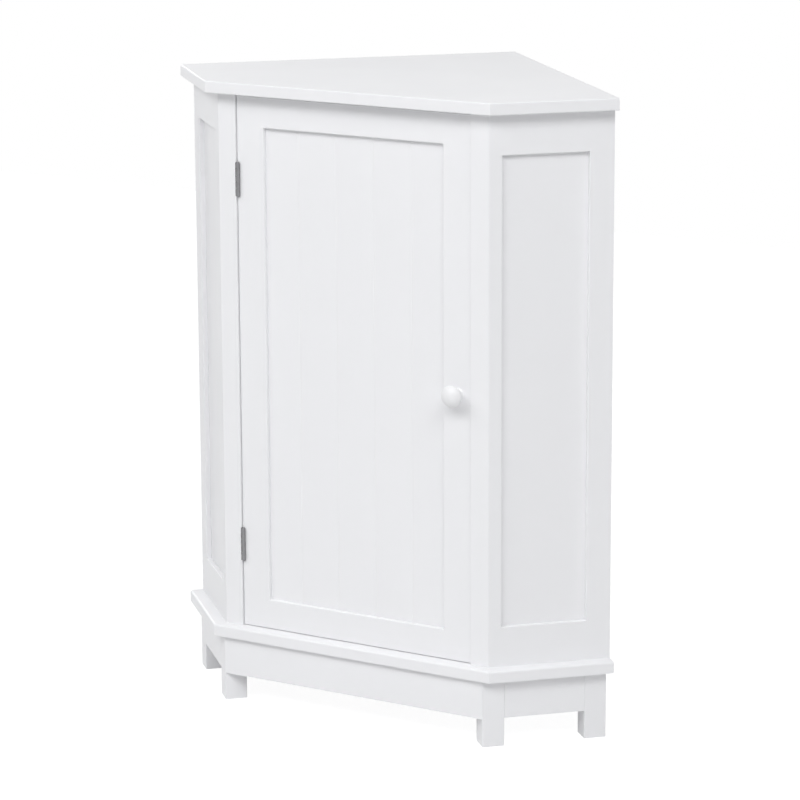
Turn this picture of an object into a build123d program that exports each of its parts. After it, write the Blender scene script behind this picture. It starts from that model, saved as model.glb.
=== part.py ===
"""Corner bathroom cabinet, as the pieces that it comes apart into. All sizes are in millimetres.

The cabinet stands in the corner of a room. Its case is laid out along the two walls: a plan point of
the case is (distance along the left wall, distance along the right wall), both from the room corner.
The door and the front of the plinth use the part's own axes: +X right, -Y to the front, +Z up.
"""

import os
from math import asin, atan2, degrees, sqrt

from build123d import *

# Whole cabinet
total_height = 800.0
case_leg = 428.0  # room corner to the outer face of a side frame
side_width = 156.0  # side frame, from the wall to the front corner
top_thick = 15.0
base_thick = 15.0
board_side_overhang = 17.0
board_front_overhang = 14.8
board_corner_round = 1.5
top_edge_round = 1.5
base_edge_round = 3.0

# Plinth
foot_height = 86.0
foot_side = 28.0
foot_wall_gap = 5.5
foot_side_proud = 4.0
foot_round = 1.0
apron_front_proud = 8.8
apron_height = 50.0
apron_thick = 15.0
cleat_side = 20.0
front_cleat_length = 240.0
side_cleat_length = 76.0

# Side frames and front posts
frame_thick = 18.0
wall_stile_width = 31.0
post_side_face = 16.5
post_front_face = 25.1
side_rail_height = 50.4
side_recess = 6.5
side_panel_thick = 4.0
groove_depth = 8.0
groove_play = 0.1  # on each face of a panel or tenon in its groove
tongue_gap = 0.5  # from the edge of a panel or tenon to the bottom of its groove
post_round = 2.0
frame_round = 1.0

# Back
back_thick = 12.0
batten_side = 20.0

# Door
door_thick = 18.0
door_setback = 2.5  # from the posts' fronts back to the door's front
door_stile_width = 38.9
door_rail_height = 38.1
door_recess = 5.5
door_panel_thick = 6.0
door_round = 1.2
door_top_gap = 2.9
door_bottom_gap = 0.6
hinge_side_gap = 0.6
latch_gap = 0.6
bead_pitch = 53.8
bead_width = 3.0
bead_depth = 1.8

# Knob
knob_radius = 13.5
knob_head_half = 8.5  # from the head's widest circle to the middle of its face
knob_rim_radius = 5.0  # of the rim, seen from the side
knob_reach = 25.0
knob_base_radius = 8.0
knob_waist_radius = 5.6
knob_neck_angle = 75.0  # degrees round the rim to where the neck runs into it
knob_edge_inset = 18.1
knob_height = 440.0  # from the floor

# Hinges
leaf_thick = 1.2
leaf_gap = 0.2
leaf_depth = 14.0
leaf_height = 42.6
knuckle_radius = 1.9
knuckle_count = 5
knuckle_gap = 0.25  # between the knuckles and the door's front
knuckle_end_play = 0.2
barrel_inset = 2.8  # from the door's hinge edge to the barrel's middle
pin_radius = 1.0
pin_play = 0.05
finial_radius = 1.5
finial_height = 1.0
hinge_from_bottom = 106.9  # from the door's lower end to the hinge's middle
hinge_from_top = 104.6
hinge_screw_spread = 26.0

# Shelf
shelf_thick = 15.0
shelf_under = 400.0
shelf_gap = 1.0
shelf_front_gap = 8.0
shelf_rest_gap = 0.2
peg_radius = 2.5
peg_in = 8.0
peg_out = 13.0
peg_hole_pitch = 32.0

# Magnetic catch
catch_edge_inset = 16.1  # from the door's free edge to the catch's middle
catch_width = 24.0
catch_height = 14.0
catch_depth = 15.0
catch_wall = 1.5
catch_ear_width = 8.0
catch_ear_thick = 3.0
catch_gap = 0.3
pole_thick = 1.2
pole_proud = 0.8
strike_width = 26.0
strike_height = 13.0
strike_thick = 1.2
strike_corner_round = 2.0
strike_end_inset = 0.5
strike_screw_spread = 15.0

# Fasteners. A screw is its head's radius, its shank's radius and its length.
hole_play = 0.1
dowel_radius = 3.0
dowel_length = 20.0
base_screw = (4.0, 2.0, 42.0)
foot_screw = (4.0, 2.0, 40.0)
cleat_screw = (3.5, 1.75, 30.0)
batten_screw = (3.5, 1.75, 28.0)
hinge_screw = (2.7, 1.5, 14.0)
catch_screw = (2.6, 1.4, 12.0)
strike_screw = (2.3, 1.25, 10.0)
knob_screw_radius = 2.0
knob_screw_bite = 10.0
knob_screw_head_radius = 4.0
knob_screw_head_height = 2.4
cam_radius = 6.0
cam_depth = 9.5
cam_axis_depth = 6.0
cam_setback = 24.0
cam_end_inset = 95.0
cam_slot_width = 1.2
bolt_radius = 2.0
bolt_head_radius = 2.8
bolt_thread_radius = 2.5
bolt_thread_length = 9.0
cross_slot_width = 1.0
cross_slot_depth = 1.0
batten_screw_stagger = 20.0

# Worked out from the sizes above
root2 = sqrt(2)
front_reach = (case_leg + side_width) / root2  # room corner to the case's front plane
inner_leg = case_leg - frame_thick
inner_reach = front_reach - frame_thick
board_leg = case_leg + board_side_overhang
board_reach = front_reach + board_front_overhang
foot_leg = case_leg + foot_side_proud
foot_reach = front_reach + apron_front_proud
foot_end = foot_reach * root2 - foot_leg
foot_wall_end = foot_wall_gap + foot_side
rear_y = max(front_reach - door_setback + knob_reach, board_reach) / 2
front_y = rear_y - front_reach

case_low = foot_height + base_thick
case_high = total_height - top_thick
case_middle = (case_low + case_high) / 2
recess_low = case_low + side_rail_height
recess_high = case_high - side_rail_height
post_start = side_width - post_side_face

half_opening = (case_leg - side_width) / root2 - post_front_face
door_left = -half_opening + hinge_side_gap
door_right = half_opening - latch_gap
door_low = case_low + door_bottom_gap
door_high = case_high - door_top_gap
door_front = front_y + door_setback
door_back = door_front + door_thick
panel_left = door_left + door_stile_width
panel_right = door_right - door_stile_width
panel_low = door_low + door_rail_height
panel_high = door_high - door_rail_height

up = Vector(0, 0, 1)
down = -up
rearward = Vector(0, 1, 0)
walls = Plane(origin=(0, rear_y, 0), x_dir=(-1, -1, 0), z_dir=up)
left_way = walls.x_dir  # along the left wall, away from the room corner
right_way = walls.y_dir  # along the right wall, away from the room corner
from_corner = (Align.MIN, Align.MIN)
from_foot = (Align.CENTER, Align.CENTER, Align.MIN)
from_head = (Align.CENTER, Align.CENTER, Align.MAX)


def plan(left, right, height=0.0):
    """Where a plan point of the case is, in the part's own axes."""
    return walls.from_local_coords(Vector(left, right, height))


def front_point(across, reach):
    """The plan point that is so far to the right, and so far out from the room corner."""
    return ((reach - across) / root2, (reach + across) / root2)


def block(low, high, mode=Mode.ADD):
    """A box between two opposite corners."""
    with Locations(low):
        Box(*[b - a for a, b in zip(low, high)], align=(Align.MIN,) * 3, mode=mode)


def wall_block(low, high):
    """A box between two opposite corners, each given as a plan point and a height."""
    with Locations(walls):
        block(low, high)


def cut(*waste):
    """Takes whole shapes out of the piece that is being made."""
    for shape in waste:
        add(shape, mode=Mode.SUBTRACT)


def mirrored(piece):
    """The left-hand copy of a right-hand piece."""
    with BuildPart() as copy:
        mirror(piece.part, about=Plane.YZ)
    return copy


def both_sides(right_hand):
    """Right-hand shapes and their left-hand copies."""
    with BuildPart() as group:
        add(right_hand)
        mirror(right_hand, about=Plane.YZ)
    return group.part


def copies(spots, shape):
    """The same shape at every spot."""
    with BuildPart() as group:
        with Locations(*spots):
            add(shape)
    return group.part


def rods(spots, radius, length):
    """Round rods, half on each side of their spots."""
    with BuildPart() as group:
        with Locations(*spots):
            Cylinder(radius, length)
    return group.part


def screws(spots, size, play=0.0):
    """Countersunk screws with their heads flush in their spots. Play makes them their own holes."""
    head, shank, length = size
    with BuildPart() as one:
        with BuildSketch(Plane.XZ):
            with BuildLine():
                Polyline(
                    (0, 0),
                    (head + play, 0),
                    (shank + play, shank - head),
                    (shank + play, -length - play),
                    (0, -length - play),
                    close=True,
                )
            make_face()
        revolve(axis=Axis.Z)
        if play == 0:
            with Locations((0, 0, 0)):
                Box(1.3 * head, cross_slot_width / 2, cross_slot_depth, mode=Mode.SUBTRACT)
                Box(cross_slot_width / 2, 1.3 * head, cross_slot_depth, mode=Mode.SUBTRACT)
    return copies(spots, one.part)


def edge_waste(spot, radius, length):
    """What rounding takes off an edge that runs up from a spot, in a piece on its +X and +Y sides."""
    with BuildPart() as waste:
        with BuildSketch(spot):
            Rectangle(2 * radius, 2 * radius)
            with Locations((radius, radius)):
                Circle(radius, mode=Mode.SUBTRACT)
        extrude(amount=length)
    return waste.part


def five_sided(leg, reach):
    """Plan of the top and base boards: square at the room corner, cut off along the front."""
    end = reach * root2 - leg
    with BuildSketch() as outline:
        with BuildLine():
            Polyline((0, 0), (0, leg), (end, leg), (leg, end), (leg, 0), close=True)
        make_face()
        front_corners = outline.vertices().sort_by_distance(Vector(leg, leg))[:2]
        fillet(front_corners, board_corner_round)
    return outline.sketch


# Dowels. Spots are those of the right side, and the left side mirrors them.
post_dowel = front_point(half_opening + frame_thick / 2, front_reach - frame_thick / 2)
stile_dowel = (foot_wall_gap + dowel_radius, case_leg - frame_thick / 2)
rail_middle = (wall_stile_width + post_start) / 2
case_dowel_spots = [
    Plane(plan(*post_dowel, case_low)),
    Plane(plan(*post_dowel, case_high)),
    Plane(plan(*stile_dowel, case_low)),
    Plane(plan(*stile_dowel, case_high)),
    Plane(plan(rail_middle, case_leg - frame_thick / 2, case_low)),
    Plane(plan(back_thick / 2, inner_leg, case_middle), z_dir=right_way),
]

# The front apron's dowels lie midway in what its slanted end leaves for them
apron_low = foot_height - apron_height
side_apron_line = foot_leg - apron_thick / 2
front_apron_line = foot_leg - apron_thick * root2 / 2 - dowel_length / 4
apron_dowel_spots = [
    Plane(plan(end, line, height), z_dir=left_way)
    for height in (apron_low + apron_height / 4, foot_height - apron_height / 4)
    for end, line in (
        (foot_wall_end, side_apron_line),
        (foot_end - foot_side, side_apron_line),
        (foot_end, front_apron_line),
    )
]

# Cams: local +Z runs from the joint into the board that holds the cam, +X to its inner face
panel_cam_line = back_thick - cam_axis_depth
panel_cam_reaches = (cam_end_inset, inner_leg - cam_end_inset)
panel_cam_heights = (case_low + cam_end_inset, case_high - cam_end_inset)
top_cam_spots = [
    Plane(plan(panel_cam_line, reach, case_high), x_dir=left_way, z_dir=down)
    for reach in panel_cam_reaches
]
stile_cam_spots = [
    Plane(plan(panel_cam_line, inner_leg, height), x_dir=left_way, z_dir=-right_way)
    for height in panel_cam_heights
]
rail_cam_spots = [
    Plane(plan(rail_middle, inner_leg + cam_axis_depth, case_high), x_dir=-right_way, z_dir=down)
]

# Screws of the plinth and the back
base_screw_spots = [
    Plane(plan(back_thick / 2, reach, foot_height), z_dir=down) for reach in panel_cam_reaches
]
foot_middle = foot_side / 2
foot_screw_spots = [
    Plane(plan(foot_end - foot_middle, foot_leg - foot_middle, case_low)),
    Plane(plan(foot_wall_gap + foot_middle, foot_leg - foot_middle, case_low)),
]
rear_screw_spots = [Plane(plan(foot_wall_gap + foot_middle, foot_wall_gap + foot_middle, case_low))]

cleat_low = foot_height - cleat_side
side_cleat_line = foot_leg - apron_thick - cleat_side / 2
side_cleat_middle = (foot_wall_gap + foot_end) / 2
front_cleat_reach = foot_reach - apron_thick - cleat_side / 2
cleat_end = 1.5 * cleat_side  # from a cleat's end to its screw
side_cleat_screws = side_cleat_length / 2 - cleat_end
cleat_screw_spots = [
    Plane(plan(side_cleat_middle - side_cleat_screws, side_cleat_line, cleat_low), z_dir=down),
    Plane(plan(side_cleat_middle + side_cleat_screws, side_cleat_line, cleat_low), z_dir=down),
    Plane(
        plan(*front_point(front_cleat_length / 2 - cleat_end, front_cleat_reach), cleat_low),
        z_dir=down,
    ),
]

batten_line = back_thick + batten_side / 2
batten_heights = (case_low + cam_end_inset, case_middle, case_high - cam_end_inset)
right_batten_spots = [
    Plane(plan(0, batten_line, height), z_dir=-left_way) for height in batten_heights
]
left_batten_spots = [
    Plane(plan(batten_line, 0, height + batten_screw_stagger), z_dir=-right_way)
    for height in batten_heights
]

# Shelf pegs stand out of the back panels and of the posts' rear faces
peg_height = shelf_under - shelf_rest_gap - peg_radius


def peg_spots(height):
    on_panel = [Plane(plan(back_thick, reach, height), z_dir=left_way) for reach in panel_cam_reaches]
    post_spot = front_point(half_opening + frame_thick / 2, inner_reach)
    return on_panel + [Plane(plan(*post_spot, height), z_dir=rearward)]


def cam_bolt():
    with BuildPart() as bolt:
        with BuildSketch(Plane.XZ):
            with BuildLine():
                head_half = bolt_head_radius / 2
                Polyline(
                    (0, -bolt_thread_length),
                    (bolt_thread_radius, -bolt_thread_length),
                    (bolt_thread_radius, 0),
                    (bolt_radius, 0),
                    (bolt_radius, cam_setback - 2 * head_half),
                    (bolt_head_radius, cam_setback - head_half),
                    (bolt_head_radius, cam_setback + head_half),
                    (0, cam_setback + head_half),
                    close=True,
                )
            make_face()
        revolve(axis=Axis.Z)
    return bolt.part


def cam_disc():
    """Flush with the board's inner face, hollow for the bolt's head, with a cross slot to turn it."""
    with BuildPart() as disc:
        with Locations(Location((cam_axis_depth, 0, cam_setback), (0, 90, 0))):
            Cylinder(cam_radius, cam_depth, align=from_head)
            Box(cam_slot_width, 1.3 * cam_radius, cam_slot_width, mode=Mode.SUBTRACT)
            Box(1.3 * cam_radius, cam_slot_width, cam_slot_width, mode=Mode.SUBTRACT)
        with Locations((0, 0, cam_setback + bolt_head_radius)):
            hollow = cam_radius + 2 * bolt_head_radius
            Cylinder(bolt_head_radius + hole_play, hollow, align=from_head, mode=Mode.SUBTRACT)
    return disc.part


def cam_bore():
    """What one cam and its bolt need out of both boards."""
    with BuildPart() as bore:
        with Locations(Location((cam_axis_depth, 0, cam_setback), (0, 90, 0))):
            Cylinder(cam_radius + hole_play, 2 * (cam_depth + hole_play))
        Cylinder(bolt_head_radius + hole_play, cam_setback, align=from_foot)
        Cylinder(bolt_thread_radius + hole_play, bolt_thread_length + hole_play, align=from_head)
    return bore.part


dowel_bore = (dowel_radius + hole_play, dowel_length + 2 * hole_play)
case_dowel_bores = rods(case_dowel_spots, *dowel_bore)
apron_dowel_bores = rods(apron_dowel_spots, *dowel_bore)
top_cam_bores = copies(top_cam_spots, cam_bore())
stile_cam_bores = copies(stile_cam_spots, cam_bore())
rail_cam_bores = copies(rail_cam_spots, cam_bore())
base_screw_bores = screws(base_screw_spots, base_screw, hole_play)
foot_screw_bores = screws(foot_screw_spots, foot_screw, hole_play)
rear_screw_bores = screws(rear_screw_spots, foot_screw, hole_play)
cleat_screw_bores = screws(cleat_screw_spots, cleat_screw, hole_play)
right_batten_bores = screws(right_batten_spots, batten_screw, hole_play)
left_batten_bores = screws(left_batten_spots, batten_screw, hole_play)
peg_hole_spots = [spot for step in (-1, 0, 1) for spot in peg_spots(peg_height + step * peg_hole_pitch)]
peg_bores = rods(peg_hole_spots, peg_radius + hole_play, 2 * (peg_in + hole_play))


def foot(left, right, *bores):
    """A square foot, turned with the walls, from its corner nearest the room corner."""
    with BuildPart() as piece:
        wall_block((left, right, 0), (left + foot_side, right + foot_side, foot_height))
        fillet(piece.edges().filter_by(Axis.Z), foot_round)
        cut(*bores)
    return piece


foot_line = foot_leg - foot_side
foot_front_right = foot(foot_end - foot_side, foot_line, foot_screw_bores, apron_dowel_bores)
foot_wall_right = foot(foot_wall_gap, foot_line, foot_screw_bores, apron_dowel_bores)
foot_rear = foot(foot_wall_gap, foot_wall_gap, rear_screw_bores)

with BuildPart() as apron_right:
    apron_start = (foot_wall_end, foot_leg - apron_thick, apron_low)
    wall_block(apron_start, (foot_end - foot_side, foot_leg, foot_height))
    cut(apron_dowel_bores)

# The front apron fills the space between the front feet, so its ends are slanted
with BuildPart() as apron_front:
    with BuildSketch(walls.offset(apron_low)):
        with BuildLine():
            apron_back = foot_reach - apron_thick
            half_back = apron_back - foot_end * root2
            Polyline(
                (foot_end, foot_leg),
                (foot_leg, foot_end),
                front_point(-half_back, apron_back),
                front_point(half_back, apron_back),
                close=True,
            )
        make_face()
    extrude(amount=apron_height)
    cut(both_sides(apron_dowel_bores))

with BuildPart() as cleat_right:
    wall_block(
        (side_cleat_middle - side_cleat_length / 2, side_cleat_line - cleat_side / 2, cleat_low),
        (side_cleat_middle + side_cleat_length / 2, side_cleat_line + cleat_side / 2, foot_height),
    )
    cut(cleat_screw_bores)

with BuildPart() as cleat_front:
    with Locations((0, rear_y - front_cleat_reach, cleat_low)):
        Box(front_cleat_length, cleat_side, cleat_side, align=from_foot)
    cut(both_sides(cleat_screw_bores))

with BuildPart() as base_board:
    with BuildSketch(walls.offset(foot_height)):
        add(five_sided(board_leg, board_reach))
    extrude(amount=base_thick)
    upper_edges = base_board.faces().sort_by(Axis.Z)[-1].edges()
    fillet(upper_edges.sort_by_distance(plan(0, 0, case_low))[2:], base_edge_round)
    cut(both_sides(case_dowel_bores), both_sides(base_screw_bores), both_sides(foot_screw_bores))
    cut(both_sides(cleat_screw_bores), rear_screw_bores)

# Side frame members: grooves run their full length, and rails have tenons in the stiles' grooves
tongue_low = case_leg - side_recess - side_panel_thick
tongue_high = case_leg - side_recess
groove_middle = (tongue_low + tongue_high) / 2
groove_width = side_panel_thick + 2 * groove_play
tongue_length = groove_depth - tongue_gap
recess_height = recess_high - recess_low
stile_waste = edge_waste(
    Plane(plan(wall_stile_width, case_leg, recess_low), x_dir=-left_way), frame_round, recess_height
)
post_waste = edge_waste(
    Plane(plan(post_start, case_leg, recess_low), x_dir=-right_way), frame_round, recess_height
)

with BuildPart() as wall_stile_right:
    with BuildSketch(walls.offset(case_low)):
        with Locations((0, inner_leg)):
            Rectangle(wall_stile_width, frame_thick, align=from_corner)
        with Locations((wall_stile_width, groove_middle)):
            Rectangle(2 * groove_depth, groove_width, mode=Mode.SUBTRACT)
    extrude(amount=case_high - case_low)
    cut(case_dowel_bores, stile_cam_bores, stile_waste)

# A post turns the corner: one leg is in the side frame, the other beside the door
with BuildPart() as front_post_right:
    with BuildSketch(walls.offset(case_low)) as post_section:
        with BuildLine():
            Polyline(
                (post_start, case_leg),
                (side_width, case_leg),
                front_point(half_opening, front_reach),
                front_point(half_opening, inner_reach),
                (inner_reach * root2 - inner_leg, inner_leg),
                (post_start, inner_leg),
                close=True,
            )
        make_face()
        corners = post_section.vertices()
        outer_corner = corners.sort_by_distance(Vector(side_width, case_leg))[0]
        door_corner = corners.sort_by_distance(Vector(*front_point(half_opening, front_reach)))[0]
        fillet(outer_corner, post_round)
        fillet(door_corner, frame_round)
        with Locations((post_start, groove_middle)):
            Rectangle(2 * groove_depth, groove_width, mode=Mode.SUBTRACT)
    extrude(amount=case_high - case_low)
    cut(case_dowel_bores, peg_bores, post_waste)


def side_rail(low, high, recess_edge):
    """A right-hand rail. Its recess edge has the panel's groove, and its tenons stop clear of it."""
    tenon_low = low + groove_depth if recess_edge == low else low
    tenon_high = high - groove_depth if recess_edge == high else high
    with BuildPart() as rail:
        end_plane = Plane(plan(wall_stile_width, 0), x_dir=right_way, z_dir=left_way)
        with BuildSketch(end_plane) as section:
            with Locations((inner_leg, low)):
                Rectangle(frame_thick, high - low, align=from_corner)
            seen_corner = section.vertices().sort_by_distance(Vector(case_leg, recess_edge))[0]
            fillet(seen_corner, frame_round)
            with Locations((groove_middle, recess_edge)):
                Rectangle(groove_width, 2 * groove_depth, mode=Mode.SUBTRACT)
        extrude(amount=post_start - wall_stile_width)
        wall_block(
            (wall_stile_width - tongue_length, tongue_low, tenon_low),
            (post_start + tongue_length, tongue_high, tenon_high),
        )
        cut(case_dowel_bores, rail_cam_bores)
    return rail


side_top_rail_right = side_rail(recess_high, case_high, recess_edge=recess_high)
side_bottom_rail_right = side_rail(case_low, recess_low, recess_edge=recess_low)

with BuildPart() as side_panel_right:
    wall_block(
        (wall_stile_width - tongue_length, tongue_low, recess_low - tongue_length),
        (post_start + tongue_length, tongue_high, recess_high + tongue_length),
    )

# Back: the right panel runs into the room corner, and the left one stops against it
with BuildPart() as back_panel_right:
    wall_block((0, 0, case_low), (back_thick, inner_leg, case_high))
    cut(case_dowel_bores, top_cam_bores, stile_cam_bores, base_screw_bores, peg_bores)
    cut(right_batten_bores)

with BuildPart() as back_panel_left:
    wall_block((back_thick, 0, case_low), (inner_leg, back_thick, case_high))
    for bores in (case_dowel_bores, top_cam_bores, stile_cam_bores, base_screw_bores, peg_bores):
        mirror(bores, about=Plane.YZ, mode=Mode.SUBTRACT)
    cut(left_batten_bores)

batten_end = back_thick + batten_side
with BuildPart() as corner_batten:
    wall_block((back_thick, back_thick, case_low), (batten_end, batten_end, case_high))
    cut(right_batten_bores, left_batten_bores)

# Shelf: its rear corner is cut off to pass the batten
with BuildPart() as shelf:
    with BuildSketch(walls.offset(shelf_under)):
        with BuildLine():
            shelf_start = back_thick + shelf_gap
            shelf_leg = inner_leg - shelf_gap
            shelf_end = (inner_reach - shelf_front_gap) * root2 - shelf_leg
            shelf_cut = 2 * batten_end + shelf_gap * root2 - shelf_start
            Polyline(
                (shelf_start, shelf_cut),
                (shelf_start, shelf_leg),
                (shelf_end, shelf_leg),
                (shelf_leg, shelf_end),
                (shelf_leg, shelf_start),
                (shelf_cut, shelf_start),
                close=True,
            )
        make_face()
    extrude(amount=shelf_thick)
    front_edges = shelf.faces().sort_by(Axis.Y)[0].edges().filter_by(Axis.X)
    fillet(front_edges, frame_round)

with BuildPart() as shelf_pegs:
    with Locations(*peg_spots(peg_height)):
        Cylinder(peg_radius, peg_out, align=from_foot)
        Cylinder(peg_radius, peg_in, align=from_head)
    mirror(about=Plane.YZ)

# Hinges: each leaf is let into its board, and the barrel stands in front of the door's edge
axis_x = door_left + barrel_inset
axis_y = door_front - knuckle_radius - knuckle_gap
hinge_middles = {"lower": door_low + hinge_from_bottom, "upper": door_high - hinge_from_top}
let_in = (2 * leaf_thick + leaf_gap - hinge_side_gap) / 2
post_leaf_left = -half_opening - let_in
door_leaf_left = door_left + let_in - leaf_thick
leaf_back = door_front + leaf_depth


def hinge_screw_spots(face, outward):
    """Spots on both hinges' leaves, on the faces that meet in the gap."""
    return [
        Plane((face, leaf_back - leaf_depth / 2, middle + side * hinge_screw_spread / 2), z_dir=outward)
        for middle in hinge_middles.values()
        for side in (-1, 1)
    ]


hinge_post_spots = hinge_screw_spots(post_leaf_left + leaf_thick, (1, 0, 0))
hinge_door_spots = hinge_screw_spots(door_leaf_left, (-1, 0, 0))
hinge_post_bores = screws(hinge_post_spots, hinge_screw, hole_play)
hinge_door_bores = screws(hinge_door_spots, hinge_screw, hole_play)



def leaf_recesses(left, right):
    """Where both hinges' leaves and their necks are let into a board, from one side to the other."""
    with BuildPart() as waste:
        for middle in hinge_middles.values():
            half = leaf_height / 2 + hole_play
            block((left, front_y - leaf_thick, middle - half), (right, leaf_back + hole_play, middle + half))
    return waste.part


with BuildPart() as front_post_left:
    mirror(front_post_right.part, about=Plane.YZ)
    cut(hinge_post_bores, leaf_recesses(post_leaf_left, 0))


def hinge_leaf(middle, on_door):
    """One leaf with its knuckles, each on a neck that comes forward and turns to the pin."""
    low = middle - leaf_height / 2
    high = middle + leaf_height / 2
    pitch = leaf_height / knuckle_count
    left = door_leaf_left if on_door else post_leaf_left
    right = left + leaf_thick
    with BuildPart() as leaf:
        block((left, door_front, low), (right, leaf_back, high))
        fillet(leaf.edges().filter_by(Axis.X).group_by(Axis.Y)[-1], leaf_thick)
        for number in range(1 if on_door else 0, knuckle_count, 2):
            start = max(low, low + number * pitch + knuckle_end_play / 2)
            end = min(high, low + (number + 1) * pitch - knuckle_end_play / 2)
            with Locations((axis_x, axis_y, start)):
                Cylinder(knuckle_radius, end - start, align=from_foot)
            block((left, axis_y, start), (right, door_front, end))
            block((left, axis_y, start), (axis_x, axis_y + leaf_thick, end))
        with Locations((axis_x, axis_y, middle)):
            Cylinder(pin_radius + pin_play, 2 * leaf_height, mode=Mode.SUBTRACT)
        cut(hinge_door_bores if on_door else hinge_post_bores)
    return leaf


def hinge_pin(middle):
    """A pin with a domed end above and below the barrel, which keeps it in the knuckles."""
    half = leaf_height / 2
    dome_radius = (finial_radius**2 + finial_height**2) / (2 * finial_height)
    dome_middle = half + finial_height - dome_radius
    dome_start = degrees(asin((half - dome_middle) / dome_radius))
    with BuildPart() as blank:
        with BuildSketch(Plane.XZ):
            with BuildLine():
                high_dome = CenterArc((0, dome_middle), dome_radius, dome_start, 90 - dome_start)
                low_dome = CenterArc((0, -dome_middle), dome_radius, 270, 90 - dome_start)
                Polyline(low_dome @ 1, (pin_radius, -half), (pin_radius, half), high_dome @ 0)
                Line(high_dome @ 1, low_dome @ 0)
            make_face()
        revolve(axis=Axis.Z)
    return copies([Location((axis_x, axis_y, middle))], blank.part)


# Knob, turned about the line that points to the front, and the screw that holds it from behind
knob_spot = Plane((door_right - knob_edge_inset, door_front, knob_height), z_dir=-rearward)
with BuildPart() as knob_blank:
    with BuildSketch(Plane.XZ):
        with BuildLine():
            head_middle = knob_reach - knob_head_half
            rim_middle = knob_radius - knob_rim_radius
            rise = knob_head_half - knob_rim_radius
            face_radius = (rim_middle**2 + knob_head_half**2 - knob_rim_radius**2) / (2 * rise)
            face_middle = knob_reach - face_radius
            face_start = degrees(atan2(head_middle - face_middle, rim_middle))
            rim_arc = knob_neck_angle + face_start
            rim = CenterArc((rim_middle, head_middle), knob_rim_radius, -knob_neck_angle, rim_arc)
            face = CenterArc((0, face_middle), face_radius, face_start, 90 - face_start)
            neck_middle = (knob_waist_radius, (rim @ 0).Y / 2)
            ThreePointArc((knob_base_radius, 0), neck_middle, rim @ 0)
            Polyline(face @ 1, (0, 0), (knob_base_radius, 0))
        make_face()
    revolve(axis=Axis.Z)
    Cylinder(knob_screw_radius + hole_play, knob_screw_bite, align=from_foot, mode=Mode.SUBTRACT)

with BuildPart() as door_knob:
    with Locations(knob_spot):
        add(knob_blank.part)

with BuildPart() as knob_screw:
    with Locations(knob_spot.offset(-door_thick)):
        Cylinder(knob_screw_head_radius, knob_screw_head_height, align=from_head)
        shank_length = door_thick + knob_screw_bite - hole_play
        Cylinder(knob_screw_radius, shank_length, align=from_foot)
    with Locations(knob_spot.offset(-door_thick - knob_screw_head_height)):
        slot_length = 1.3 * knob_screw_head_radius
        Box(slot_length, cross_slot_width, 2 * cross_slot_depth, mode=Mode.SUBTRACT)
        Box(cross_slot_width, slot_length, 2 * cross_slot_depth, mode=Mode.SUBTRACT)

# Strike plate on the door's back, opposite the catch
catch_middle = door_right - catch_edge_inset
strike_back = door_back + strike_thick
strike_high = door_high - strike_end_inset
strike_low = strike_high - strike_height
strike_spots = [
    Plane((catch_middle + side * strike_screw_spread / 2, strike_back, (strike_low + strike_high) / 2),
          z_dir=rearward)
    for side in (-1, 1)
]
strike_bores = screws(strike_spots, strike_screw, hole_play)
with BuildPart() as strike_plate:
    block(
        (catch_middle - strike_width / 2, door_back, strike_low),
        (catch_middle + strike_width / 2, strike_back, strike_high),
    )
    fillet(strike_plate.edges().filter_by(Axis.Y), strike_corner_round)
    cut(strike_bores)

# Door frame and its grooved panel
tongue_front = door_front + door_recess
tongue_back = tongue_front + door_panel_thick
door_groove_middle = (tongue_front + tongue_back) / 2
door_groove_width = door_panel_thick + 2 * groove_play
knob_bore = rods([knob_spot], knob_screw_radius + hole_play, 2 * door_thick + 1)


def door_stile(left, inner_edge, inner_spot, *bores):
    """A stile from its left edge, with the panel's groove in its inner edge."""
    waste = edge_waste(inner_spot, door_round, panel_high - panel_low)
    with BuildPart() as stile:
        with BuildSketch(Plane.XY.offset(door_low)):
            with Locations((left, door_front)):
                Rectangle(door_stile_width, door_thick, align=from_corner)
            with Locations((inner_edge, door_groove_middle)):
                Rectangle(2 * groove_depth, door_groove_width, mode=Mode.SUBTRACT)
        extrude(amount=door_high - door_low)
        front_edges = stile.faces().sort_by(Axis.Y)[0].edges()
        inner_middle = Vector(inner_edge, door_front, (door_low + door_high) / 2)
        fillet(front_edges.sort_by_distance(inner_middle)[1:], door_round)
        cut(waste, *bores)
    return stile


hinge_side = Plane((panel_left, door_front, panel_low), x_dir=rearward)
knob_side = Plane((panel_right, door_front, panel_low))
hinge_edge_waste = leaf_recesses(-half_opening, door_left + let_in)
door_stile_hinge = door_stile(door_left, panel_left, hinge_side, hinge_door_bores, hinge_edge_waste)
door_stile_knob = door_stile(panel_right, panel_right, knob_side, knob_bore, strike_bores)


def door_rail(low, high, recess_edge):
    """A rail between the stiles, with the panel's groove in its recess edge and tenons clear of it."""
    tenon_low = low + groove_depth if recess_edge == low else low
    tenon_high = high - groove_depth if recess_edge == high else high
    with BuildPart() as rail:
        with BuildSketch(Plane.YZ.offset(panel_left)) as section:
            with Locations((door_front, low)):
                Rectangle(door_thick, high - low, align=from_corner)
            fillet(section.vertices().group_by(Axis.X)[0], door_round)
            with Locations((door_groove_middle, recess_edge)):
                Rectangle(door_groove_width, 2 * groove_depth, mode=Mode.SUBTRACT)
        extrude(amount=panel_right - panel_left)
        block(
            (panel_left - tongue_length, tongue_front, tenon_low),
            (panel_right + tongue_length, tongue_back, tenon_high),
        )
    return rail


door_rail_top = door_rail(panel_high, door_high, recess_edge=panel_high)
door_rail_bottom = door_rail(door_low, panel_low, recess_edge=panel_low)

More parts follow.
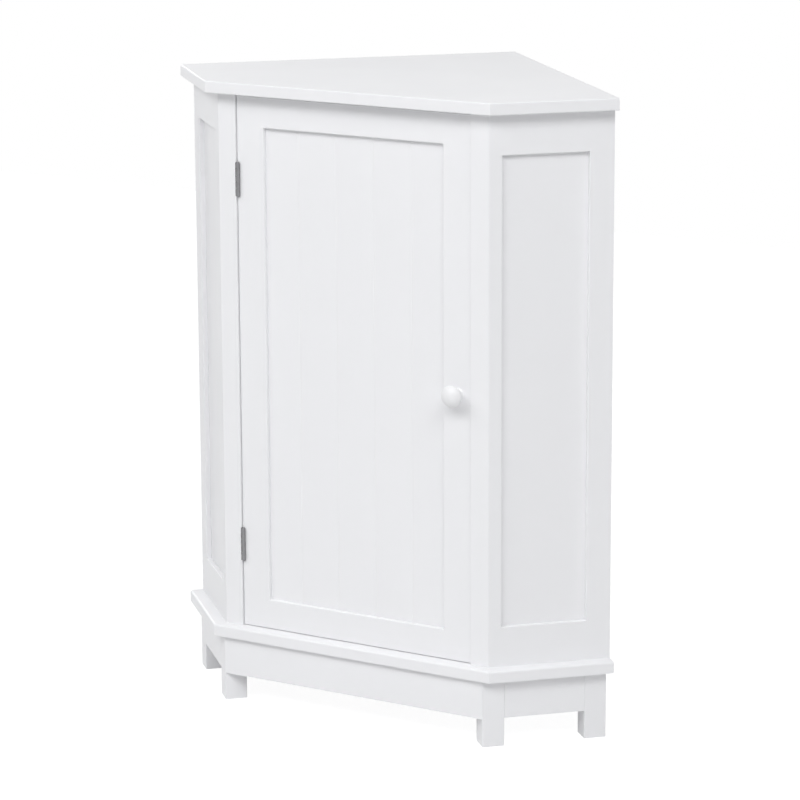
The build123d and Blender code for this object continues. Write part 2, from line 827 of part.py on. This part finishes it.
with BuildPart() as door_panel:
    board_low = panel_low - tongue_length
    board_high = panel_high + tongue_length
    block(
        (panel_left - tongue_length, tongue_front, board_low),
        (panel_right + tongue_length, tongue_back, board_high),
    )
    with BuildSketch(Plane.XY.offset(board_low)):
        bead_count = 2 * int((panel_right - panel_left) / bead_pitch / 2 + 0.5)
        with Locations(((door_left + door_right) / 2, tongue_front)):
            with GridLocations(bead_pitch, 1, bead_count, 1):
                Polygon((-bead_width / 2, 0), (bead_width / 2, 0), (0, bead_depth), align=None)
    extrude(amount=board_high - board_low, mode=Mode.SUBTRACT)

# Catch under the top board: a housing with ears, and a magnet between two pole plates
pole_front = strike_back + catch_gap
housing_front = pole_front + pole_proud
housing_back = housing_front + catch_depth
pocket_back = housing_back - catch_wall
pocket_low = case_high - catch_height + catch_wall
pocket_high = case_high - catch_ear_thick
pocket_left = catch_middle - catch_width / 2 + catch_wall
pocket_right = catch_middle + catch_width / 2 - catch_wall
ear_middle = (catch_width + catch_ear_width) / 2
ear_end = catch_width / 2 + catch_ear_width
catch_spots = [
    Plane((catch_middle + side * ear_middle, (housing_front + housing_back) / 2, pocket_high), z_dir=down)
    for side in (-1, 1)
]
catch_bores = screws(catch_spots, catch_screw, hole_play)

with BuildPart() as catch_housing:
    block(
        (catch_middle - catch_width / 2, housing_front, case_high - catch_height),
        (catch_middle + catch_width / 2, housing_back, case_high),
    )
    block(
        (catch_middle - ear_end, housing_front, pocket_high),
        (catch_middle + ear_end, housing_back, case_high),
    )
    block(
        (pocket_left, housing_front, pocket_low),
        (pocket_right, pocket_back, pocket_high),
        mode=Mode.SUBTRACT,
    )
    cut(catch_bores)

with BuildPart() as catch_poles:
    for pole_low in (pocket_low, pocket_high - pole_thick):
        block(
            (pocket_left, pole_front, pole_low),
            (pocket_right, pocket_back, pole_low + pole_thick),
        )

with BuildPart() as catch_magnet:
    block(
        (pocket_left, housing_front, pocket_low + pole_thick),
        (pocket_right, pocket_back, pocket_high - pole_thick),
    )

with BuildPart() as top_board:
    with BuildSketch(walls.offset(case_high)):
        add(five_sided(board_leg, board_reach))
    extrude(amount=top_thick)
    level_edges = top_board.edges().filter_by(Axis.Z, reverse=True)
    fillet(level_edges.sort_by_distance(plan(0, 0, case_high))[4:], top_edge_round)
    cut(both_sides(case_dowel_bores), both_sides(top_cam_bores), both_sides(rail_cam_bores))
    cut(catch_bores)

# Every piece by name. Those of the right side give the left side's too.
right_hand = {
    "foot_front": foot_front_right,
    "foot_wall": foot_wall_right,
    "apron": apron_right,
    "cleat": cleat_right,
    "wall_stile": wall_stile_right,
    "side_top_rail": side_top_rail_right,
    "side_bottom_rail": side_bottom_rail_right,
    "side_panel": side_panel_right,
}
single = {
    "foot_rear": foot_rear,
    "apron_front": apron_front,
    "cleat_front": cleat_front,
    "base_board": base_board,
    "front_post_left": front_post_left,
    "front_post_right": front_post_right,
    "back_panel_left": back_panel_left,
    "back_panel_right": back_panel_right,
    "corner_batten": corner_batten,
    "top_board": top_board,
    "shelf": shelf,
    "shelf_pegs": shelf_pegs,
    "door_stile_hinge": door_stile_hinge,
    "door_stile_knob": door_stile_knob,
    "door_rail_top": door_rail_top,
    "door_rail_bottom": door_rail_bottom,
    "door_panel": door_panel,
    "door_knob": door_knob,
    "knob_screw": knob_screw,
    "strike_plate": strike_plate,
    "catch_housing": catch_housing,
    "catch_poles": catch_poles,
    "catch_magnet": catch_magnet,
}
cam_spots = top_cam_spots + stile_cam_spots + rail_cam_spots
fasteners = {
    "cam_bolts": [both_sides(copies(cam_spots, cam_bolt()))],
    "cam_discs": [both_sides(copies(cam_spots, cam_disc()))],
    "case_dowels": [both_sides(rods(case_dowel_spots, dowel_radius, dowel_length))],
    "apron_dowels": [both_sides(rods(apron_dowel_spots, dowel_radius, dowel_length))],
    "base_screws": [both_sides(screws(base_screw_spots, base_screw))],
    "foot_screws": [
        both_sides(screws(foot_screw_spots, foot_screw)),
        screws(rear_screw_spots, foot_screw),
    ],
    "cleat_screws": [both_sides(screws(cleat_screw_spots, cleat_screw))],
    "batten_screws": [screws(right_batten_spots + left_batten_spots, batten_screw)],
    "hinge_post_screws": [screws(hinge_post_spots, hinge_screw)],
    "hinge_door_screws": [screws(hinge_door_spots, hinge_screw)],
    "catch_screws": [screws(catch_spots, catch_screw)],
    "strike_screws": [screws(strike_spots, strike_screw)],
}


def keep(piece, name):
    """Names a finished piece and writes it."""
    piece.part.label = name
    export_step(piece.part, f"parts/{name}.step")


os.makedirs("parts", exist_ok=True)
for name, piece in right_hand.items():
    keep(piece, f"{name}_right")
    keep(mirrored(piece), f"{name}_left")
for name, piece in single.items():
    keep(piece, name)
for place, middle in hinge_middles.items():
    keep(hinge_leaf(middle, on_door=False), f"hinge_post_leaf_{place}")
    keep(hinge_leaf(middle, on_door=True), f"hinge_door_leaf_{place}")
    with BuildPart() as pin:
        add(hinge_pin(middle))
    keep(pin, f"hinge_pin_{place}")
for name, shapes in fasteners.items():
    with BuildPart() as group:
        for shape in shapes:
            add(shape)
    keep(group, name)
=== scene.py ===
# %% [markdown]
# # A white corner cabinet for a bathroom
# The cabinet stands where two walls meet. It is a case of sprayed boards with one framed door across
# its slanted front, a top board that reaches over it, and a plinth of square feet and low aprons.
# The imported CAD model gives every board, hinge and screw its size and place. This script dresses that
# model: it lights it as a studio does, gives each board and fitting its finish, and makes again, more
# finely, the few pieces that a hand or an eye comes close to.

from math import atan2, cos, pi, radians, sin, tan

import bmesh
import bpy
from mathutils import Matrix, Vector


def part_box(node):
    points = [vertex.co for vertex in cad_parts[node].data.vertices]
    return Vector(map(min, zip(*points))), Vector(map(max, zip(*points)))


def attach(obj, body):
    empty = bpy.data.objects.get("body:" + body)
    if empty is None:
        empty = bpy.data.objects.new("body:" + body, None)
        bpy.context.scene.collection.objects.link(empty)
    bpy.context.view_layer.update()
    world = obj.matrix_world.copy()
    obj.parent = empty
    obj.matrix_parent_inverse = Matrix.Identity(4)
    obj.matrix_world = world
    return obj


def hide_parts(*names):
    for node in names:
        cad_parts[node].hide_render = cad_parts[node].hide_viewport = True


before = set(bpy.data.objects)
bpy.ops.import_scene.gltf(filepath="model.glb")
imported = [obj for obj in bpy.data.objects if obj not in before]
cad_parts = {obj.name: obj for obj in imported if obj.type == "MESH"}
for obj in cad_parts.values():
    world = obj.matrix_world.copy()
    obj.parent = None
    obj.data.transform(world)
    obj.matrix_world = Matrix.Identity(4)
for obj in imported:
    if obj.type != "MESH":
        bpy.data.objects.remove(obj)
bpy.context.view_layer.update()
mm = 0.001

# %% [markdown]
# ## The camera
# The picture was taken from the right of the door and from a little above the top board, through a
# long lens that hardly lets the uprights lean. The camera was placed in the same frame as the model: a
# place in metres, a heading round the cabinet, a tilt down and a very small roll.

# %% Place the camera
camera_place = Vector((2.135863, -3.672814, 1.37403))
camera_heading = radians(30.736)
camera_tilt = radians(76.782)
camera_roll = radians(-0.2607)
camera_lens = 152.949

lens = bpy.data.cameras.new("studio camera")
lens.sensor_width = 36.0
lens.lens = camera_lens
camera = bpy.data.objects.new("studio camera", lens)
turned = (
    Matrix.Rotation(camera_heading, 4, "Z")
    @ Matrix.Rotation(camera_tilt, 4, "X")
    @ Matrix.Rotation(camera_roll, 4, "Z")
)
camera.matrix_world = Matrix.Translation(camera_place) @ turned
bpy.context.collection.objects.link(camera)
bpy.context.scene.camera = camera
print("camera:", round(camera_place.length, 2), "m away, lens", lens.lens, "mm")

# %% [markdown]
# ## The studio
# The cabinet stands on a white sheet before a white backdrop, so there is no horizon. The light that
# no lamp gives comes evenly from all round, as from white walls. A backdrop as dim as those walls would
# look grey, so the world has two strengths: a full one for what is seen and a low one for the light on
# surfaces. The view transform is set to Standard first, so that a colour renders as it is written.

# %% Set the view and the world
bpy.context.scene.view_settings.view_transform = "Standard"


def fresh_nodes(owner):
    """An owner's empty node tree, and a short way to add to it."""
    owner.use_nodes = True
    tree = owner.node_tree
    tree.nodes.clear()

    def add(kind, **settings):
        node = tree.nodes.new(kind)
        for name, value in settings.items():
            setattr(node, name, value)
        return node

    return tree.links.new, add


def seen_directly(link, add):
    """One for rays that a viewer, a mirror or a glass sees by, none for the light on a surface."""
    path = add("ShaderNodeLightPath")
    mirror = add("ShaderNodeMath", operation="MAXIMUM")
    glass = add("ShaderNodeMath", operation="MAXIMUM")
    link(path.outputs["Is Camera Ray"], mirror.inputs[0])
    link(path.outputs["Is Glossy Ray"], mirror.inputs[1])
    link(mirror.outputs[0], glass.inputs[0])
    link(path.outputs["Is Transmission Ray"], glass.inputs[1])
    return glass.outputs[0]


room_light = 0.19
world = bpy.data.worlds.new("white room")
bpy.context.scene.world = world
link, add = fresh_nodes(world)
backdrop = add("ShaderNodeBackground")
backdrop.inputs["Color"].default_value = (1.0, 1.0, 1.0, 1.0)
backdrop.inputs["Strength"].default_value = 1.0
ambient = add("ShaderNodeBackground")
ambient.inputs["Color"].default_value = (0.985, 0.99, 1.0, 1.0)
ambient.inputs["Strength"].default_value = room_light
chosen = add("ShaderNodeMixShader")
link(seen_directly(link, add), chosen.inputs["Fac"])
link(ambient.outputs[0], chosen.inputs[1])
link(backdrop.outputs[0], chosen.inputs[2])
link(chosen.outputs[0], add("ShaderNodeOutputWorld").inputs["Surface"])
print("world: room light", room_light)

# %% [markdown]
# ## The lamps
# A studio hangs cloth boxes with a lamp in each, because a broad lamp gives a shadow a soft edge. Three
# hang in front, at the left, in the middle and at the right, and draw the soft dark line under the top
# board. One overhead lights the top, a weak one beside the cabinet lifts the right side, and two low
# ones behind light the back. Each is an area lamp placed by two angles round the cabinet's middle, which
# makes it easy to move. The powers were found from renders with one lamp at a time.

# %% Hang the lamps
middle = Vector((0.0, 0.0, 0.45))
softbox_width = 2.6
softbox_height = 1.8
softbox_distance = 5.0


def softbox(name, across, height, power):
    """A broad lamp that looks at the middle, from some degrees right of the front and some up."""
    lamp = bpy.data.lights.new(name, "AREA")
    lamp.shape = "RECTANGLE"
    lamp.size = softbox_width
    lamp.size_y = softbox_height
    lamp.energy = power
    lamp.color = (0.99, 0.995, 1.0)
    holder = bpy.data.objects.new(name, lamp)
    way = Vector((sin(radians(across)), -cos(radians(across)), tan(radians(height)))).normalized()
    turn = way.to_track_quat("Z", "Y").to_matrix().to_4x4()
    holder.matrix_world = Matrix.Translation(middle + softbox_distance * way) @ turn
    bpy.context.collection.objects.link(holder)


softbox("left softbox", across=-45, height=40, power=50.0)
softbox("front softbox", across=0, height=40, power=82.0)
softbox("right softbox", across=45, height=40, power=74.5)
softbox("overhead softbox", across=0, height=90, power=23.0)
softbox("side softbox", across=80, height=25, power=12.5)
softbox("rear left softbox", across=-124, height=10, power=38.0)
softbox("rear right softbox", across=135, height=10, power=46.0)
print("lamps:", [lamp.name for lamp in bpy.data.lights])

# %% [markdown]
# ## The floor
# The sheet under the cabinet is plain, white and matt. For the light it is an ordinary matt surface, so
# it throws light back up under the boards. For the eye it glows a little as well, so that it ends in the
# same white as the backdrop and only the faint shadow between the feet is left.

# %% Lay the floor
floor_half = 3.0
sheet_for_light = 0.82
sheet_for_eye = 0.34
sheet_glow = 0.88

bm = bmesh.new()
bmesh.ops.create_grid(bm, x_segments=1, y_segments=1, size=floor_half)
floor_mesh = bpy.data.meshes.new("floor")
bm.to_mesh(floor_mesh)
bm.free()
floor = bpy.data.objects.new("floor", floor_mesh)
bpy.context.collection.objects.link(floor)

sheet = bpy.data.materials.new("white sheet")
link, add = fresh_nodes(sheet)
matt = add("ShaderNodeBsdfDiffuse")
matt.inputs["Color"].default_value = (*[sheet_for_light] * 3, 1.0)
seen_matt = add("ShaderNodeBsdfDiffuse")
seen_matt.inputs["Color"].default_value = (*[sheet_for_eye] * 3, 1.0)
glow = add("ShaderNodeEmission")
glow.inputs["Strength"].default_value = sheet_glow
seen = add("ShaderNodeAddShader")
link(seen_matt.outputs[0], seen.inputs[0])
link(glow.outputs[0], seen.inputs[1])
shown = add("ShaderNodeMixShader")
link(seen_directly(link, add), shown.inputs["Fac"])
link(matt.outputs[0], shown.inputs[1])
link(seen.outputs[0], shown.inputs[2])
link(shown.outputs[0], add("ShaderNodeOutputMaterial").inputs["Surface"])
floor.data.materials.append(sheet)
print("floor:", 2 * floor_half, "m square")

# %% [markdown]
# ## Shared effects
# Each effect that more than one finish uses is a node group, built once. A group gives out a height, a
# shade or a mask that changes over the surface, and the finish decides what it feeds. The first is the
# skin of a sprayed coat: fine bumps where the drops ran together, and broad clouds where the gun passed
# a little nearer or farther.

# %% A helper for groups


def start_group(name, sizes, results):
    """An empty group with named number inputs and named outputs."""
    group = bpy.data.node_groups.new(name, "ShaderNodeTree")
    for label, value in sizes.items():
        socket = group.interface.new_socket(label, in_out="INPUT", socket_type="NodeSocketFloat")
        socket.default_value = value
    for label, kind in results.items():
        group.interface.new_socket(label, in_out="OUTPUT", socket_type=kind)

    def add(kind, **settings):
        node = group.nodes.new(kind)
        for label, value in settings.items():
            setattr(node, label, value)
        return node

    return group, group.links.new, add


number = "NodeSocketFloat"


def noise(link, add, place, scale, detail=2.0, rough=0.5):
    """A noise texture at a place, with its scale a number or another node's output."""
    texture = add("ShaderNodeTexNoise")
    texture.inputs["Detail"].default_value = detail
    texture.inputs["Roughness"].default_value = rough
    link(place, texture.inputs["Vector"])
    if isinstance(scale, (int, float)):
        texture.inputs["Scale"].default_value = scale
    else:
        link(scale, texture.inputs["Scale"])
    return texture.outputs["Fac"]


def reach(link, add, value, low, high, start, end):
    """A value moved from one range to another."""
    change = add("ShaderNodeMapRange")
    for label, bound in zip(("From Min", "From Max", "To Min", "To Max"), (low, high, start, end)):
        change.inputs[label].default_value = bound
    link(value, change.inputs["Value"])
    return change.outputs["Result"]


# %% The sprayed coat
coat, link, add = start_group(
    "sprayed coat",
    {"Peel Scale": 700.0, "Cloud Scale": 9.0},
    {"Height": number, "Cloud": number},
)
into = add("NodeGroupInput")
out = add("NodeGroupOutput")
place = add("ShaderNodeTexCoord").outputs["Object"]
peel = noise(link, add, place, into.outputs["Peel Scale"], detail=1.5)
cloud = noise(link, add, place, into.outputs["Cloud Scale"], detail=3.0)
link(peel, out.inputs["Height"])
link(cloud, out.inputs["Cloud"])
print("sprayed coat:", len(coat.nodes), "nodes")

# %% [markdown]
# ## Dust
# Fine dust settles on whatever faces up. The group reads how far a surface faces up and thins the dust
# with a noise, because it never lies evenly. Painted dust would have to be made again for each piece.
# This way every board gets its own, and a finish says how much of it shows.

# %% Fine dust on what faces up
dust, link, add = start_group("settled dust", {"Amount": 0.3}, {"Dust": number})
into = add("NodeGroupInput")
out = add("NodeGroupOutput")
facing = add("ShaderNodeNewGeometry")
parts = add("ShaderNodeSeparateXYZ")
link(facing.outputs["Normal"], parts.inputs[0])
level = reach(link, add, parts.outputs["Z"], 0.85, 1.0, 0.0, 1.0)
place = add("ShaderNodeTexCoord").outputs["Object"]
patch = reach(link, add, noise(link, add, place, 14.0, detail=5.0), 0.35, 0.75, 0.2, 1.0)
both = add("ShaderNodeMath", operation="MULTIPLY")
link(level, both.inputs[0])
link(patch, both.inputs[1])
scaled = add("ShaderNodeMath", operation="MULTIPLY")
link(both.outputs[0], scaled.inputs[0])
link(into.outputs["Amount"], scaled.inputs[1])
link(scaled.outputs[0], out.inputs["Dust"])
print("settled dust:", len(dust.nodes), "nodes")

# %% [markdown]
# ## Grain
# Beech has long fibres, and a drawn wire or strip has long scratches. Both are a noise that is stretched
# along its length. A picture of grain would need unwrapped faces, and this only needs a place.

# %% The grain of wood and of drawn metal
grain, link, add = start_group(
    "drawn grain", {"Scale": 400.0, "Stretch": 0.05}, {"Grain": number}
)
into = add("NodeGroupInput")
out = add("NodeGroupOutput")
place = add("ShaderNodeTexCoord").outputs["Object"]
stretched = add("ShaderNodeCombineXYZ")
stretched.inputs["X"].default_value = 1.0
stretched.inputs["Y"].default_value = 1.0
link(into.outputs["Stretch"], stretched.inputs["Z"])
drawn = add("ShaderNodeVectorMath", operation="MULTIPLY")
link(place, drawn.inputs[0])
link(stretched.outputs[0], drawn.inputs[1])
link(noise(link, add, drawn.outputs[0], into.outputs["Scale"], detail=4.0), out.inputs["Grain"])
print("effects:", [group.name for group in bpy.data.node_groups])

# %% [markdown]
# ## The finishes
# The boards have a sprayed white coat. It is never quite even: close up it has the fine skin of an
# orange, and its gloss and shade drift a little from place to place. A little dust lies on what faces
# up.

# %% Paint


def placed(add, link, group, **values):
    """A shared effect in a finish, with this finish's own values."""
    node = add("ShaderNodeGroup", node_tree=group)
    for label, value in values.items():
        node.inputs[label.replace("_", " ")].default_value = value
    return node


def shades(link, add, factor, first, second):
    """A colour between two, by a factor."""
    blend = add("ShaderNodeMix", data_type="RGBA")
    blend.inputs["A"].default_value = (*first, 1.0)
    blend.inputs["B"].default_value = (*second, 1.0)
    link(factor, blend.inputs["Factor"])
    return blend.outputs["Result"]


def paint(name, colour, rough, peel_height=0.012 * mm, dusty=0.0, peel_scale=700.0, gloss=0.5):
    """A sprayed coat of one colour."""
    material = bpy.data.materials.new(name)
    link, add = fresh_nodes(material)
    surface = add("ShaderNodeBsdfPrincipled")
    surface.inputs["Specular IOR Level"].default_value = gloss
    skin = placed(add, link, coat, Peel_Scale=peel_scale)
    darker = [0.985 * part for part in colour]
    last = shades(link, add, skin.outputs["Cloud"], colour, darker)
    if dusty:
        settled = placed(add, link, dust, Amount=dusty)
        greyed = add("ShaderNodeMix", data_type="RGBA")
        link(last, greyed.inputs["A"])
        greyed.inputs["B"].default_value = (0.72, 0.71, 0.69, 1.0)
        link(settled.outputs["Dust"], greyed.inputs["Factor"])
        last = greyed.outputs["Result"]
    link(last, surface.inputs["Base Color"])
    link(
        reach(link, add, skin.outputs["Cloud"], 0.3, 0.7, rough - 0.05, rough + 0.05),
        surface.inputs["Roughness"],
    )
    bump = add("ShaderNodeBump")
    bump.inputs["Strength"].default_value = 1.0
    bump.inputs["Distance"].default_value = peel_height
    link(skin.outputs["Height"], bump.inputs["Height"])
    link(bump.outputs[0], surface.inputs["Normal"])
    link(surface.outputs[0], add("ShaderNodeOutputMaterial").inputs["Surface"])
    return material


white = (0.87, 0.87, 0.885)
finishes = {
    "case_paint": paint("case paint", white, rough=0.42, dusty=0.03),
    "door_paint": paint("door paint", white, rough=0.40),
    "plinth_paint": paint("plinth paint", white, rough=0.44, dusty=0.03),
    "inside_paint": paint("inside paint", (0.84, 0.84, 0.85), rough=0.55, dusty=0.04),
    "knob_enamel": paint(
        "knob enamel", (0.86, 0.86, 0.87), rough=0.45, peel_height=0.004 * mm, gloss=0.35
    ),
}
print("paints:", list(finishes))

# %% [markdown]
# ## The metals
# The hinges, screws and plates are steel under a thin plated skin. It is duller in patches and keeps the
# fine lines of its drawing. One function makes all three, with a colour and a roughness for each. The
# hinges are the darkest, because the picture shows their barrels dark grey between the white boards.

# %% Metal


def metal(name, colour, rough, grain_scale=500.0, stretch=0.08):
    """Plated or plain steel, with the fine lines of its drawing and a duller patch here and there."""
    material = bpy.data.materials.new(name)
    link, add = fresh_nodes(material)
    surface = add("ShaderNodeBsdfPrincipled")
    surface.inputs["Metallic"].default_value = 1.0
    lines = placed(add, link, grain, Scale=grain_scale, Stretch=stretch)
    patches = placed(add, link, coat, Peel_Scale=900.0, Cloud_Scale=160.0)
    duller = [0.8 * part for part in colour]
    link(
        shades(link, add, patches.outputs["Cloud"], duller, colour), surface.inputs["Base Color"]
    )
    link(
        reach(link, add, lines.outputs["Grain"], 0.3, 0.7, rough - 0.08, rough + 0.1),
        surface.inputs["Roughness"],
    )
    bump = add("ShaderNodeBump")
    bump.inputs["Distance"].default_value = 0.006 * mm
    link(lines.outputs["Grain"], bump.inputs["Height"])
    link(bump.outputs[0], surface.inputs["Normal"])
    link(surface.outputs[0], add("ShaderNodeOutputMaterial").inputs["Surface"])
    return material


finishes["hinge_steel"] = metal("hinge steel", (0.27, 0.27, 0.28), rough=0.42)
finishes["zinc_hardware"] = metal("zinc hardware", (0.62, 0.62, 0.60), rough=0.34)
finishes["plate_steel"] = metal("plate steel", (0.60, 0.60, 0.60), rough=0.30)
print("metals:", list(finishes)[-3:])

# %% [markdown]
# ## Wood, plastic and magnet
# The dowels are bare beech, the catch has a white plastic housing, and its magnet is a dark block of
# ferrite. They are small and mostly hidden, so each gets two colours and one shared effect that drives
# its colour, its gloss and its relief.

# %% Wood, plastic and ferrite


def plain(name, colours, rough, group, output, height, **values):
    """A finish whose colour and relief both follow one shared effect."""
    material = bpy.data.materials.new(name)
    link, add = fresh_nodes(material)
    surface = add("ShaderNodeBsdfPrincipled")
    pattern = placed(add, link, group, **values)
    link(shades(link, add, pattern.outputs[output], *colours), surface.inputs["Base Color"])
    link(
        reach(link, add, pattern.outputs[output], 0.3, 0.7, rough, rough + 0.12),
        surface.inputs["Roughness"],
    )
    bump = add("ShaderNodeBump")
    bump.inputs["Distance"].default_value = height
    link(pattern.outputs[output], bump.inputs["Height"])
    link(bump.outputs[0], surface.inputs["Normal"])
    link(surface.outputs[0], add("ShaderNodeOutputMaterial").inputs["Surface"])
    return material


finishes["beech"] = plain(
    "beech", ((0.60, 0.42, 0.25), (0.74, 0.56, 0.36)), 0.6, grain, "Grain", 0.03 * mm, Scale=900.0
)
finishes["white_plastic"] = plain(
    "white plastic", ((0.83, 0.83, 0.82), (0.86, 0.86, 0.85)), 0.35, coat, "Height", 0.01 * mm
)
finishes["ferrite"] = plain(
    "ferrite", ((0.045, 0.045, 0.05), (0.08, 0.08, 0.085)), 0.6, coat, "Height", 0.03 * mm
)
print("the rest:", list(finishes)[-3:])

# %% [markdown]
# ## Dressing the model
# Each CAD piece names its finish by a slot. The finish goes on the object and not on the mesh, so the
# meshes stay as they were packed.

# %% Dress the CAD nodes
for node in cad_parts.values():
    slot = node.data.materials[0].name
    node.material_slots[0].link = "OBJECT"
    node.material_slots[0].material = finishes[slot]
print("dressed:", len(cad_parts), "nodes")

# %% [markdown]
# ## Finishing a piece
# Every piece made here ends the same way: doubles are merged, faces are turned outwards, soft shading
# stops at real edges, the piece gets its finish and its body, and the CAD nodes that it stands for are
# hidden.

# %% A helper that finishes a piece
same_place = 0.001 * mm


def save_piece(name, bm, body, slot, *nodes, smooth=40.0):
    """Makes an object of a bmesh, gives it its finish and its body, and hides the nodes that it
    replaces.
    """
    bmesh.ops.remove_doubles(bm, verts=bm.verts, dist=same_place)
    bmesh.ops.recalc_face_normals(bm, faces=bm.faces)
    mesh = bpy.data.meshes.new(name)
    bm.to_mesh(mesh)
    bm.free()
    mesh.shade_smooth()
    mesh.set_sharp_from_angle(angle=radians(smooth))
    piece = bpy.data.objects.new(name, mesh)
    bpy.context.collection.objects.link(piece)
    mesh.materials.append(finishes[slot])
    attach(piece, body)
    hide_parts(*nodes)
    print(name + ":", len(mesh.polygons), "faces")
    return piece


# %% [markdown]
# ## The knob
# A turned wooden knob under the same white coat: a foot that sits on the door, a narrow neck, a
# rounded rim and a shallow domed face. A turner cuts this outline while the blank spins, and a spin
# does the same here. The outline is drawn once, as arcs that a vertex leaves as it swings about each
# arc's own middle, and then the whole outline is spun about the knob's axis.

# %% Measure the knob
knob_low, knob_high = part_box("door_knob")
knob_axis = (knob_low + knob_high) / 2
knob_foot = knob_high.y
knob_reach = knob_high.y - knob_low.y
knob_radius = (knob_high.x - knob_low.x) / 2
rim_radius = 5.0 * mm
foot_radius = 8.0 * mm
waist_radius = 5.6 * mm
head_half = 8.5 * mm
neck_angle = radians(-75)
bend_steps = 14
rim_steps = 28
turn_steps = 72
print("knob:", round(knob_radius / mm, 2), "mm radius,", round(knob_reach / mm, 2), "mm reach")

# %% Draw its outline and turn it
bm = bmesh.new()


def on_outline(outward, forward):
    """A point of the outline, from its distance to the axis and its distance to the door."""
    return Vector((knob_axis.x + outward, knob_foot - forward, knob_axis.z))


def draw_on(vert, point):
    """A straight line of the outline, from its last vertex to a point."""
    drawn = bmesh.ops.extrude_vert_indiv(bm, verts=[vert])["verts"][0]
    drawn.co = point
    return drawn


def swing(vert, middle, angle, steps):
    """An arc of the outline: its last vertex swung about the arc's middle."""
    turned = bmesh.ops.spin(
        bm, geom=[vert], cent=middle, axis=(0, 0, 1), angle=-angle, steps=steps, use_duplicate=False
    )
    return [part for part in turned["geom_last"] if isinstance(part, bmesh.types.BMVert)][0]


rim_out = knob_radius - rim_radius
rim_up = knob_reach - head_half
face_radius = (rim_out**2 + head_half**2 - rim_radius**2) / (2 * (head_half - rim_radius))
face_up = knob_reach - face_radius
face_start = atan2(rim_up - face_up, rim_out)
neck_out = rim_out + rim_radius * cos(neck_angle)
neck_up = rim_up + rim_radius * sin(neck_angle)

last = bmesh.ops.create_vert(bm, co=on_outline(0, 0))["vert"][0]
last = draw_on(last, on_outline(foot_radius, 0))
print("face:", round(face_radius / mm, 2), "mm radius")

# %% The neck is the arc through three points
across = Vector((neck_out - foot_radius, neck_up))
waist = Vector((waist_radius - foot_radius, neck_up / 2))
turn = 2 * across.cross(waist)
neck_middle = (
    foot_radius + (waist.y * across.length_squared - across.y * waist.length_squared) / turn,
    (across.x * waist.length_squared - waist.x * across.length_squared) / turn,
)
print("neck middle:", [round(part / mm, 2) for part in neck_middle])
neck_start = atan2(-neck_middle[1], foot_radius - neck_middle[0]) % (2 * pi)
neck_end = atan2(neck_up - neck_middle[1], neck_out - neck_middle[0]) % (2 * pi)
last = swing(last, on_outline(*neck_middle), neck_end - neck_start, bend_steps)
last = swing(last, on_outline(rim_out, rim_up), face_start - neck_angle, rim_steps)
last = swing(last, on_outline(0, face_up), pi / 2 - face_start, bend_steps)
off_axis = (last.co.x - knob_axis.x) / mm
print("outline:", len(bm.verts), "points, ends", round(off_axis, 4), "mm off the axis")

# %% Spin the outline round
bmesh.ops.spin(
    bm,
    geom=bm.verts[:] + bm.edges[:],
    cent=knob_axis,
    axis=(0, 1, 0),
    angle=2 * pi,
    steps=turn_steps,
    use_merge=True,
)
save_piece("turned_knob", bm, "door", "knob_enamel", "door_knob", smooth=50)

# %% [markdown]
# ## The door's panel
# The sunk panel of the door is one thin board with four shallow lines down it, which look like the
# joints of narrow boards. A cutter leaves a small V with a soft lip on each side. Here the board is a
# block that is cut through at both lips and at the middle of each line. The middle is pushed in, and
# a bevel rounds the lips under the paint.

# %% Cut the panel's lines
panel_low, panel_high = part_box("door_panel")
bead_pitch = 53.8 * mm
bead_half = 1.1 * mm
bead_depth = 0.55 * mm
lip_round = 0.4 * mm
long_edge = 100 * mm
near = 0.01 * mm
bead_lines = [bead_pitch * (count - 1.5) for count in range(4)]

bm = bmesh.new()
bmesh.ops.create_cube(bm, size=1.0)
bmesh.ops.scale(bm, vec=panel_high - panel_low, verts=bm.verts)
bmesh.ops.translate(bm, vec=(panel_low + panel_high) / 2, verts=bm.verts)
for line in bead_lines:
    for place in (line - bead_half, line, line + bead_half):
        whole = bm.verts[:] + bm.edges[:] + bm.faces[:]
        bmesh.ops.bisect_plane(bm, geom=whole, plane_co=(place, 0, 0), plane_no=(1, 0, 0))
pushed = [
    vert
    for vert in bm.verts
    if abs(vert.co.y - panel_low.y) < near
    and any(abs(vert.co.x - line) < near for line in bead_lines)
]
bmesh.ops.translate(bm, vec=(0, bead_depth, 0), verts=pushed)
lips = [
    edge
    for edge in bm.edges
    if all(abs(vert.co.y - panel_low.y) < near for vert in edge.verts)
    and edge.calc_length() > long_edge
    and any(abs(abs(edge.verts[0].co.x - line) - bead_half) < near for line in bead_lines)
]
bmesh.ops.bevel(
    bm,
    geom=lips,
    offset=lip_round,
    offset_type="OFFSET",
    affect="EDGES",
    segments=3,
    profile=0.5,
    material=-1,
)
print("panel:", len(bead_lines), "lines,", len(lips), "soft lips")
save_piece("beaded_panel", bm, "door", "door_paint", "door_panel", smooth=60)
